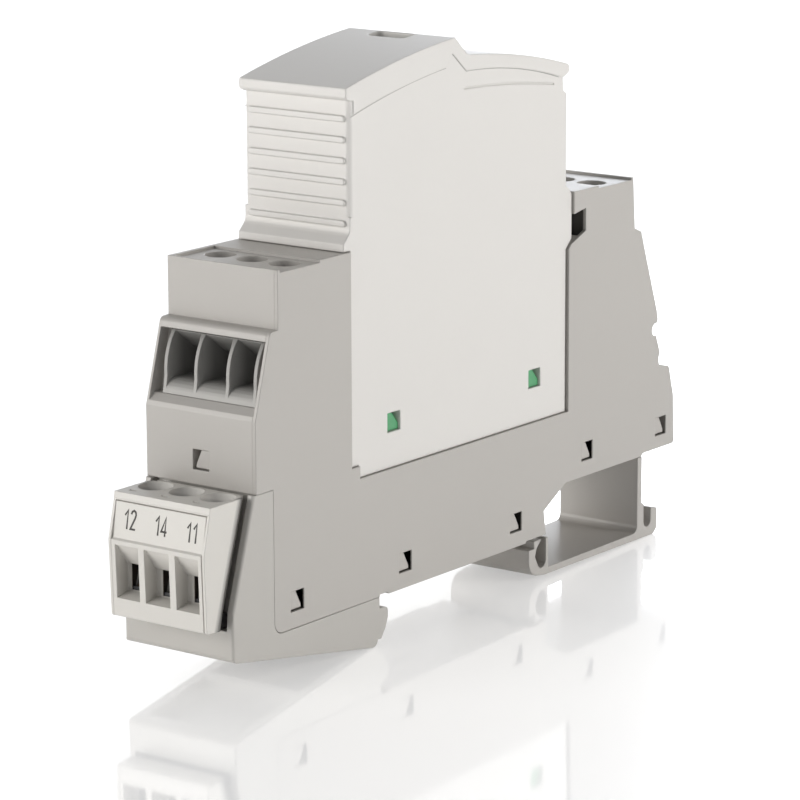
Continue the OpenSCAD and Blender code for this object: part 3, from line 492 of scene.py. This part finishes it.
class ArresterSizes(bpy.types.PropertyGroup):
    """Sizes of the finishes, in metres."""

    grain: length_property("Grain", "Width of one grain of the moulded surface", 0.00016)
    grain_depth: length_property("Grain depth", "Depth of the moulded grain", 0.000012)
    edge: length_property("Edge", "Radius of the moulded edges", 0.00022)
    arch_line: length_property("Arch line", "Width of the shadow lines below the cap's arches", 0.00011)
    numeral_height: length_property("Numeral height", "Height of the connector's numerals", 0.00245)
    numeral_step: length_property("Numeral step", "Distance between the digits of a number", 0.00100)
    numeral_pen: length_property("Numeral pen", "Width of the numerals' strokes", 0.00026)
    thread_ridge: length_property("Thread ridge", "Half width of a screw thread's ridge", 0.00004)


class ARRESTER_OT_mouldings(bpy.types.Operator):
    """Give the base, the cover, the foot, the carrier and the wire funnels their moulded finish"""

    bl_idname = "arrester.mouldings"
    bl_label = "Finish mouldings"

    def execute(self, context):
        colours, sizes = context.scene.arrester_colours, context.scene.arrester_sizes
        housing = moulded("housing_polyamide", colours.housing, sizes)
        carrier = moulded("carrier_polyamide", colours.carrier, sizes, roughness=0.38)
        for node in ("base_tub", "base_cover", "rail_foot"):
            dress(node, housing)
        dress("signal_carrier", carrier)
        for node, inward in (("front_terminal_insert", 1), ("rear_terminal_insert", -1)):
            low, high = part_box(node)
            # Painted shade that darkens the wire funnels from their front line inwards
            depth = funnel_painted_shade(low.y if inward > 0 else high.y, inward)
            dress(node, moulded(node + "_polyamide", colours.insert, sizes, roughness=0.50, edge=0.6, painted_shade=depth))
        return {"FINISHED"}


# Lower edges of the cap's arches on the plug's sides, as (y, z), and the line below the rear one
ARCH_EDGE = (bulge((-22.7, 63.75), (-2.3, 67.65), 0.42), [(-2.25, 67.7), (-0.95, 69.35), (2.1, 66.8)],
             bulge((2.2, 66.75), (23.6, 63.50), 0.76))
PANEL_X = 8.5


def arch_line_meshes(width):
    """Painted shadow: thin darker strips at the foot of the cap's arches, on both sides of the plug, where the arches'
    step casts its shade.
    """
    for side in (-1, 1):
        x0, x1 = sorted((side * PANEL_X, side * (PANEL_X + 0.015)))
        for edge in ARCH_EDGE:
            lower = [(point[0], point[1] - width) for point in edge]
            yield prism(list(edge) + lower[::-1], x0, x1)


class ARRESTER_OT_plug(bpy.types.Operator):
    """Finish the plug-in module: warm white hood, green inner carrier, state lever and tappet"""

    bl_idname = "arrester.plug"
    bl_label = "Finish plug"

    def execute(self, context):
        colours, sizes = context.scene.arrester_colours, context.scene.arrester_sizes
        dress("plug_hood", moulded("plug_polyamide", colours.plug, sizes, roughness=0.38, wear=0.22, edge=1.4))
        # Painted shadow: the plug's white darkened to about half for the strips under the arches
        shadow = moulded("arch_shadow", [share * 0.55 for share in colours.plug], sizes, roughness=0.6, grain=0.4)
        for index, mesh in enumerate(arch_line_meshes(sizes.arch_line / MM)):
            finished(f"arch_line_{index + 1}", mesh, shadow, "plug")
        green = moulded("hook_green", colours.hooks, sizes, roughness=0.38, grain=0.7)
        dress("plug_carrier", green)
        dress("status_rocker", green)
        dress("fault_tappet", moulded("tappet_acetal", (0.72, 0.71, 0.69), sizes, roughness=0.35, grain=0.5))
        return {"FINISHED"}


# The connector's poles, and the cells of its front plate
POLE_XS = (-4.95, 0.15, 5.25)
CELLS = ((-6.50, -2.75), (-1.80, 2.20), (3.20, 6.90))
CONNECTOR_X0, CONNECTOR_X1 = -7.55, 7.95
SIDE_T = 0.38
GROOVE = 0.14
CELL_BACK = -49.75
HOLE_HALF = 1.0
HOLE_Z0, HOLE_Z1 = 5.85, 9.25
SIDE_ROUND = 1.0


def wire_cell(x0, x1):
    """Straight room of one cell, with a slanting ceiling and floor."""
    return prism([(-53, 5.2), (-51.9, 5.2), (CELL_BACK, 5.75), (CELL_BACK, 9.35), (-50.05, 9.4), (-51.9, 12.15),
                  (-53, 12.15)], x0, x1)


def cage_outline(side, low, high, front):
    """Outline of a cage or its pocket; its lower front stands upright behind the wire's hole."""
    return [(front, lean_point(0.4, low)[1]), lean_point(1.3 + side, low), lean_point(1.3 + side, high),
            lean_point(-1.3 - side, high), lean_point(-1.3 - side, -8.6 - 2 * side), (front, 10.2 - 2 * side)]


def side_sections(front, back):
    """Sections of the body, whose side walls end in a quarter round towards the cheeks."""
    turns = [math.radians(turn) for turn in (0, 9, 18, 27, 36, 54, 72, 90)]
    rows = [(SIDE_ROUND * (1 - math.cos(turn)), SIDE_ROUND * (math.sin(turn) - math.sin(turns[4]))) for turn in turns]
    outlines = [(inset, front + [(y + shift, z) for y, z in back]) for inset, shift in rows]
    return ([(CONNECTOR_X0 + inset, outline) for inset, outline in outlines]
            + [(CONNECTOR_X1 - inset, outline) for inset, outline in outlines[::-1]])


def connector_housing_mesh():
    """Wedge-shaped body: screw wells with a cone, cage pockets, wire cells, label field and plate grooves."""
    front = [(-50.85, 18.65), (-51.0, 17.9), (-50.95, 17.75), (-51.05, 17.5), (-52.15, 13.0), (-52.2, 12.6),
             (-51.85, 2.95), (-51.65, 2.75)]
    back = [(-49.0, 2.6), (-48.1, 7.03), (-45.95, 13.63), (-44.30, 18.60), (-44.34, 18.65)]
    core = front + [(-49.0, 2.6), lean_point(2.15, -15.6), lean_point(2.15, -13.8), lean_point(2.9, -13.6),
                    (-43.18, 18.60), (-43.22, 18.65)]
    body = combined(loft(side_sections(front, back)),
                    [prism(core, CONNECTOR_X0 + SIDE_ROUND, CONNECTOR_X1 - SIDE_ROUND)], "UNION")
    left, right = CONNECTOR_X0 + SIDE_T, CONNECTOR_X1 - SIDE_T
    field = [(-60, 17.62), (-60, 12.35), (-52.2, 12.72), (-51.86, 12.95), (-51.0, 17.57), (-50.98, 17.62)]
    groove = [(-60, 17.6), (-60, 2.0), (-51.2, 2.0), (-51.45, 3.0), (-51.5, 12.8), (-50.6, 17.6)]
    cutters = [prism(field, left, right), prism(groove, left, left + GROOVE / 3), prism(groove, right - GROOVE, right),
               block((left, -55, 17.5), (right, -50.6, 17.5 + GROOVE))]
    for x, (x0, x1) in zip(POLE_XS, CELLS):
        cutters += [turned(x, ((1.15, -5.0), (1.15, -3.4), (1.9, -3.4), (1.9, -0.75), (2.45, 0.75), (2.45, 3.0))),
                    prism(cage_outline(0.15, -13.65, -4.2, -49.6), x - 1.9, x + 1.9), wire_cell(x0, x1),
                    block((x - HOLE_HALF, -50, HOLE_Z0), (x + HOLE_HALF, -49, HOLE_Z1)),
                    block((x - 1.2, 1.3, -15.4), (x + 1.2, 1.8, -8.0), True),
                    block((x - 0.8, -0.35, -15.5), (x + 0.8, 1.8, -14.35), True),
                    block((x - 0.4, 0, -15.35), (x + 0.4, 8, -14.55), True),
                    block((x - 1.4, -49.6, 18.1), (x - 0.1, -49.1, 20))]
    return combined(body, cutters)


def signal_cage_mesh(x):
    """Clamp cage whose lower front stands upright behind the wire's hole."""
    return combined(prism(cage_outline(0.0, -13.5, -6.6, -49.45), x - 1.75, x + 1.75),
                    [block((x - 1.3, -3, -12.8), (x + 1.3, 3, -7.7), True), turned(x, ((1.07, -9.0), (1.07, -5.0)))])


class ARRESTER_OT_connector(bpy.types.Operator):
    """Build the signalling connector's housing, front plate and cages, and finish them and the header"""

    bl_idname = "arrester.connector"
    bl_label = "Finish connector"

    def execute(self, context):
        colours, sizes = context.scene.arrester_colours, context.scene.arrester_sizes
        # The connector's white carries painted shade in its screw wells, beside its cheeks and in its wire cells
        white = moulded("connector_polyamide", colours.connector, sizes, roughness=0.38, grain=0.7, wear=0.2, edge=0.7,
                        painted_shade=recess_painted_shade)
        black = moulded("switch_plastic", (0.025, 0.025, 0.027), sizes, roughness=0.40, grain=0.6)
        housing = finished("connector_housing", connector_housing_mesh(), white, "connector")
        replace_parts(housing, "connector_body", "connector_front")
        # Painted shade: the cages' zinc is darkened to under a fifth for the shade deep inside the connector
        zinc = plated("shaded_cage_plating", [share * 0.18 for share in colours.zinc], sizes, roughness=0.5)
        for index, x in enumerate(POLE_XS):
            node = f"signal_cage_{index + 1}"
            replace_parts(finished(node + "_stamped", signal_cage_mesh(x), zinc, node), node)
        for node in ("header_shroud", "microswitch"):
            dress(node, black)
        dress("microswitch_button", moulded("button_red", (0.50, 0.05, 0.04), sizes, roughness=0.35, grain=0.5))
        return {"FINISHED"}


class ARRESTER_OT_metalwork(bpy.types.Operator):
    """Plate the screws, cages, blades, pins and contact strips"""

    bl_idname = "arrester.metalwork"
    bl_label = "Finish metalwork"

    def execute(self, context):
        colours, sizes = context.scene.arrester_colours, context.scene.arrester_sizes
        zinc = plated("zinc_plating", colours.zinc, sizes)
        tin = plated("tinned_blades", (0.46, 0.46, 0.45), sizes, roughness=0.22, streak=(1.0, 20.0, 1.0))
        copper = plated("contact_bronze", colours.copper, sizes, roughness=0.30, streak=(1.0, 1.0, 12.0))
        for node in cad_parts:
            if "_screw_" in node or "t_cage_" in node or "r_cage_" in node:
                dress(node, zinc)
            elif "_bar_" in node:
                dress(node, copper)
        for node in ("front_blades", "rear_blades", "header_pins"):
            dress(node, tin)
        dress("solder_link", copper)
        # Painted shade: the connector's contact strips get the copper darkened to about a fifth for the shade deep in
        # the wire holes
        dress("connector_contacts", plated("shaded_bronze", [share * 0.22 for share in colours.copper], sizes,
                                           roughness=0.45, streak=(1.0, 1.0, 12.0)))
        return {"FINISHED"}


class ARRESTER_OT_threads(bpy.types.Operator):
    """Wind a thread round the shank of each clamping screw"""

    bl_idname = "arrester.threads"
    bl_label = "Wind threads"

    def execute(self, context):
        sizes = context.scene.arrester_sizes
        zinc = bpy.data.materials["zinc_plating"]
        tree = thread_tree()
        for end in ("front", "rear"):
            for index in (1, 2, 3):
                node = f"{end}_screw_{index}"
                low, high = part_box(node)
                centre = (low + high) / 2
                start = Matrix.Translation((centre.x, centre.y, low.z + 0.00015))
                mesh = from_tree(node + "_thread", tree, {"Radius": 0.00125, "Pitch": 0.0005, "Turns": 11.0,
                                                          "Ridge": sizes.thread_ridge, "Material": zinc}, start)
                finished(node + "_thread", mesh, None, node)
        for index in (1, 2, 3):
            node = f"signal_screw_{index}"
            low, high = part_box(node)
            start = lean_matrix() @ Matrix.Translation(((low.x + high.x) / 2, 0, -0.00775))
            mesh = from_tree(node + "_thread", tree, {"Radius": 0.001, "Pitch": 0.0004, "Turns": 12.0,
                                                      "Ridge": sizes.thread_ridge, "Material": zinc}, start)
            finished(node + "_thread", mesh, None, node)
        return {"FINISHED"}


class ARRESTER_OT_electronics(bpy.types.Operator):
    """Finish the boards, varistors and gas tube, and set solder beads"""

    bl_idname = "arrester.electronics"
    bl_label = "Finish electronics"

    def execute(self, context):
        sizes = context.scene.arrester_sizes
        resist = board_finish("solder_resist", (0.030, 0.140, 0.055), sizes)
        for node in ("signal_board", "plug_board"):
            dress(node, resist)
        blue = dipped("varistor_epoxy", (0.030, 0.100, 0.300), sizes)
        for node in ("varistor_1", "varistor_2"):
            dress(node, blue)
        dress("gas_tube", dipped("glazed_ceramic", (0.70, 0.62, 0.55), sizes, roughness=0.15))
        solder = plated("solder", (0.66, 0.67, 0.68), sizes, roughness=0.2)
        tree = bead_tree()
        low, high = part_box("plug_board")
        for index, height in enumerate((0.0215, 0.0585)):
            start = Matrix.Translation((low.x, low.y + 0.004, height))
            mesh = from_tree(f"plug_beads_{index + 1}", tree, {"Count": 9, "Step": (0.0, 0.0043, 0.0), "Bead": 0.0007,
                                                               "Flatness": (0.5, 1.0, 1.0), "Material": solder}, start)
            finished(f"plug_beads_{index + 1}", mesh, None, "plug")
        return {"FINISHED"}


# Strokes of the plain digits, in shares of their height
DIGITS = {
    "1": [[(0.02, 0.70), (0.20, 0.97), (0.20, 0.0)]],
    "2": [[(0.02, 0.80), (0.07, 0.94), (0.18, 1.0), (0.29, 0.94), (0.33, 0.79), (0.28, 0.60), (0.03, 0.04), (0.35, 0.04)]],
    "4": [[(0.25, 0.0), (0.25, 0.97), (0.0, 0.24), (0.36, 0.24)]],
}


def ribbon(points, width):
    """Left and right border of a line that is drawn with a pen of the given width."""
    points = [Vector(point) for point in points]
    ways = [(b - a).normalized() for a, b in zip(points, points[1:])]
    left, right = [], []
    for index, point in enumerate(points):
        before, after = ways[max(index - 1, 0)], ways[min(index, len(ways) - 1)]
        middle = (before + after).normalized()
        reach = width / 2 / max(0.55, middle.dot(after))
        side = Vector((-middle.y, middle.x)) * reach
        left.append(point + side)
        right.append(point - side)
    return left, right


def numeral_mesh(text, height, advance, pen, thickness):
    """Thin raised strokes of a number, centred on the origin and facing +Z."""
    vertices, faces = [], []
    for place, digit in enumerate(text):
        shift = Vector(((place - len(text) / 2) * advance, -height / 2))
        for points in DIGITS[digit]:
            left, right = ribbon([Vector(point) * height + shift for point in points], pen)
            outline = left + right[::-1]
            first, count = len(vertices), len(outline)
            vertices += [(p.x, p.y, z) for z in (0.0, thickness) for p in outline]
            steps = len(left) - 1
            for k in range(steps):
                a, b, c, d = k, k + 1, count - 2 - k, count - 1 - k
                faces.append([first + count + i for i in (d, c, b, a)])
                faces.append([first + i for i in (a, b, c, d)])
            for k in range(count):
                after = (k + 1) % count
                faces.append([first + i for i in (k, k + count, after + count, after)])
    mesh = bpy.data.meshes.new("numeral_" + text)
    mesh.from_pydata(vertices, [], faces)
    mesh.validate()
    return mesh


class ARRESTER_OT_numerals(bpy.types.Operator):
    """Print the plain numerals of the three poles on the connector's label field"""

    bl_idname = "arrester.numerals"
    bl_label = "Print numerals"

    def execute(self, context):
        colours, sizes = context.scene.arrester_colours, context.scene.arrester_sizes
        print_ink = ink("numeral_ink", colours.numerals)
        up = (LABEL_TOP - LABEL_FOOT).normalized()
        face = Matrix((Vector((1, 0, 0)), up, Vector((1, 0, 0)).cross(up))).transposed().to_4x4()
        for text, x, share in (("12", -4.50, 0.540), ("14", 0.54, 0.527), ("11", 5.62, 0.508)):
            mesh = numeral_mesh(text, sizes.numeral_height, sizes.numeral_step, sizes.numeral_pen, 0.00002)
            spot = (LABEL_FOOT.lerp(LABEL_TOP, share) + Vector((x, 0, 0))) * MM
            mesh.transform(Matrix.Translation(spot) @ face)
            finished(f"numeral_{text}", mesh, print_ink, "connector")
        return {"FINISHED"}


# The arrester stands on its claw nose and on the end of its foot
NOSE_REST = Vector((0, -18.8, -6.56))
FOOT_REST = Vector((0, 47.8, -5.42))


# Tints of the studio's lamps
WARM = (1.0, 0.985, 0.955)
COOL = (0.89, 0.93, 1.0)

# Where the photograph was taken from, in millimetres, and the lens it implies on a 36 mm sensor
CAMERA_PLACE = Vector((302.95, -407.43, 137.26))
CAMERA_LENS = 174.8


class ARRESTER_OT_studio(bpy.types.Operator):
    """Set the pale floor, the soft lamps, the white surround and the camera"""

    bl_idname = "arrester.studio"
    bl_label = "Set studio"

    def execute(self, context):
        scene = context.scene
        slope = math.atan2(FOOT_REST.z - NOSE_REST.z, FOOT_REST.y - NOSE_REST.y)
        half = 3.0
        mesh = bpy.data.meshes.new("floor")
        mesh.from_pydata([(-half, -half, 0), (half, -half, 0), (half, half, 0), (-half, half, 0)], [], [(0, 1, 2, 3)])
        mesh.transform(Matrix.Translation((NOSE_REST + Vector((0, 0, -0.02))) * MM) @ Matrix.Rotation(slope, 4, "X"))
        floor = bpy.data.objects.new("floor", mesh)
        scene.collection.objects.link(floor)
        floor.data.materials.append(self.floor_finish())
        self.surround(scene)
        self.lamp(scene, "side_lamp", (0.78, 0.34, 0.26), (0, 0, 0.03), 0.5, 3.85, WARM)
        self.lamp(scene, "front_lamp", (-0.42, -0.76, 0.24), (0, 0, 0.03), 0.5, 4.05, WARM)
        self.lamp(scene, "rear_lamp", (-0.25, 0.78, 0.38), (0, 0, 0.05), 0.5, 3.1, COOL)
        self.camera(scene)
        scene.view_settings.view_transform = "Standard"
        return {"FINISHED"}

    def floor_finish(self):
        """Backlit white gloss board that keeps a soft shadow and a mirror image."""
        shade = Shade("floor_board")
        faint = shade.noise(40.0, 3.0)
        shade.set(Base_Color=shade.blend(faint, (0.90, 0.90, 0.90, 1), (0.94, 0.94, 0.94, 1)),
                  Roughness=(0.45 + faint * 0.10).clamped())
        seen = shade.node("ShaderNodeLightPath", {})
        shown = (seen[0] + seen[3] + seen[8]).clamped()
        shade.set(Emission_Color=shade.blend(shown, (0, 0, 0, 1), (1, 1, 1, 1)))
        shade.surface.inputs["Emission Strength"].default_value = 0.62
        gloss = shade.tree.nodes.new("ShaderNodeBsdfGlossy")
        gloss.inputs["Color"].default_value = (1, 1, 1, 1)
        gloss.inputs["Roughness"].default_value = 0.06
        mixed = shade.tree.nodes.new("ShaderNodeMixShader")
        mixed.inputs[0].default_value = 0.38
        shade.tree.links.new(shade.surface.outputs[0], mixed.inputs[1])
        shade.tree.links.new(gloss.outputs[0], mixed.inputs[2])
        shade.tree.links.new(mixed.outputs[0], shade.output.inputs["Surface"])
        return shade.material

    def surround(self, scene):
        world = bpy.data.worlds.new("surround")
        scene.world = world
        world.use_nodes = True
        nodes, links = world.node_tree.nodes, world.node_tree.links
        nodes.clear()
        path = nodes.new("ShaderNodeLightPath")
        seen = nodes.new("ShaderNodeMath")
        seen.operation = "MAXIMUM"
        clear = nodes.new("ShaderNodeMath")
        clear.operation = "MAXIMUM"
        links.new(path.outputs["Is Camera Ray"], seen.inputs[0])
        links.new(path.outputs["Is Glossy Ray"], seen.inputs[1])
        links.new(seen.outputs[0], clear.inputs[0])
        links.new(path.outputs["Is Transmission Ray"], clear.inputs[1])
        ambient = nodes.new("ShaderNodeBackground")
        ambient.inputs[0].default_value = COOL + (1,)
        ambient.inputs[1].default_value = 0.16
        backdrop = nodes.new("ShaderNodeBackground")
        backdrop.inputs[0].default_value = (1, 1, 1, 1)
        backdrop.inputs[1].default_value = 1.0
        mixed = nodes.new("ShaderNodeMixShader")
        out = nodes.new("ShaderNodeOutputWorld")
        links.new(clear.outputs[0], mixed.inputs[0])
        links.new(ambient.outputs[0], mixed.inputs[1])
        links.new(backdrop.outputs[0], mixed.inputs[2])
        links.new(mixed.outputs[0], out.inputs[0])

    def lamp(self, scene, name, place, target, size, power, colour):
        data = bpy.data.lights.new(name, "AREA")
        data.shape = "SQUARE"
        data.size = size
        data.energy = power
        data.color = colour
        lamp = bpy.data.objects.new(name, data)
        scene.collection.objects.link(lamp)
        lamp.location = place
        lamp.rotation_euler = (Vector(target) - Vector(place)).to_track_quat("-Z", "Y").to_euler()

    def camera(self, scene):
        """Camera at the photograph's viewing angle, found by fitting the object's own edges."""
        azimuth, elevation, roll = math.radians(36.71), math.radians(12.80), math.radians(-0.22)
        back = Vector((math.sin(azimuth) * math.cos(elevation), -math.cos(azimuth) * math.cos(elevation),
                       math.sin(elevation)))
        right = Vector((math.cos(azimuth), math.sin(azimuth), 0))
        up = back.cross(right)
        across = right * math.cos(roll) + up * math.sin(roll)
        upward = up * math.cos(roll) - right * math.sin(roll)
        data = bpy.data.cameras.new("camera")
        data.sensor_width = 36
        data.lens = CAMERA_LENS
        data.clip_start, data.clip_end = 0.01, 10
        camera = bpy.data.objects.new("camera", data)
        scene.collection.objects.link(camera)
        turn = Matrix((across, upward, back)).transposed().to_4x4()
        camera.matrix_world = Matrix.Translation(CAMERA_PLACE * MM) @ turn
        scene.camera = camera


class ARRESTER_PT_panel(bpy.types.Panel):
    """Lists the steps that finish the arrester"""

    bl_idname = "ARRESTER_PT_panel"
    bl_label = "Surge arrester"
    bl_space_type = "VIEW_3D"
    bl_region_type = "UI"
    bl_category = "Arrester"

    def draw(self, context):
        for group in (context.scene.arrester_colours, context.scene.arrester_sizes):
            box = self.layout.box()
            for key in group.__annotations__:
                box.prop(group, key)
        for action in STEPS:
            self.layout.operator("arrester." + action)


STEPS = ("mouldings", "plug", "connector", "metalwork", "threads", "electronics", "numerals", "studio")
CLASSES = (ArresterColours, ArresterSizes, ARRESTER_OT_mouldings, ARRESTER_OT_plug, ARRESTER_OT_connector,
           ARRESTER_OT_metalwork, ARRESTER_OT_threads, ARRESTER_OT_electronics, ARRESTER_OT_numerals,
           ARRESTER_OT_studio, ARRESTER_PT_panel)


def register():
    for item in CLASSES:
        bpy.utils.register_class(item)
    bpy.types.Scene.arrester_colours = bpy.props.PointerProperty(type=ArresterColours)
    bpy.types.Scene.arrester_sizes = bpy.props.PointerProperty(type=ArresterSizes)


def unregister():
    del bpy.types.Scene.arrester_sizes
    del bpy.types.Scene.arrester_colours
    for item in reversed(CLASSES):
        bpy.utils.unregister_class(item)


def main():
    register()
    for action in STEPS:
        getattr(bpy.ops.arrester, action)()


if __name__ == "__main__":
    main()
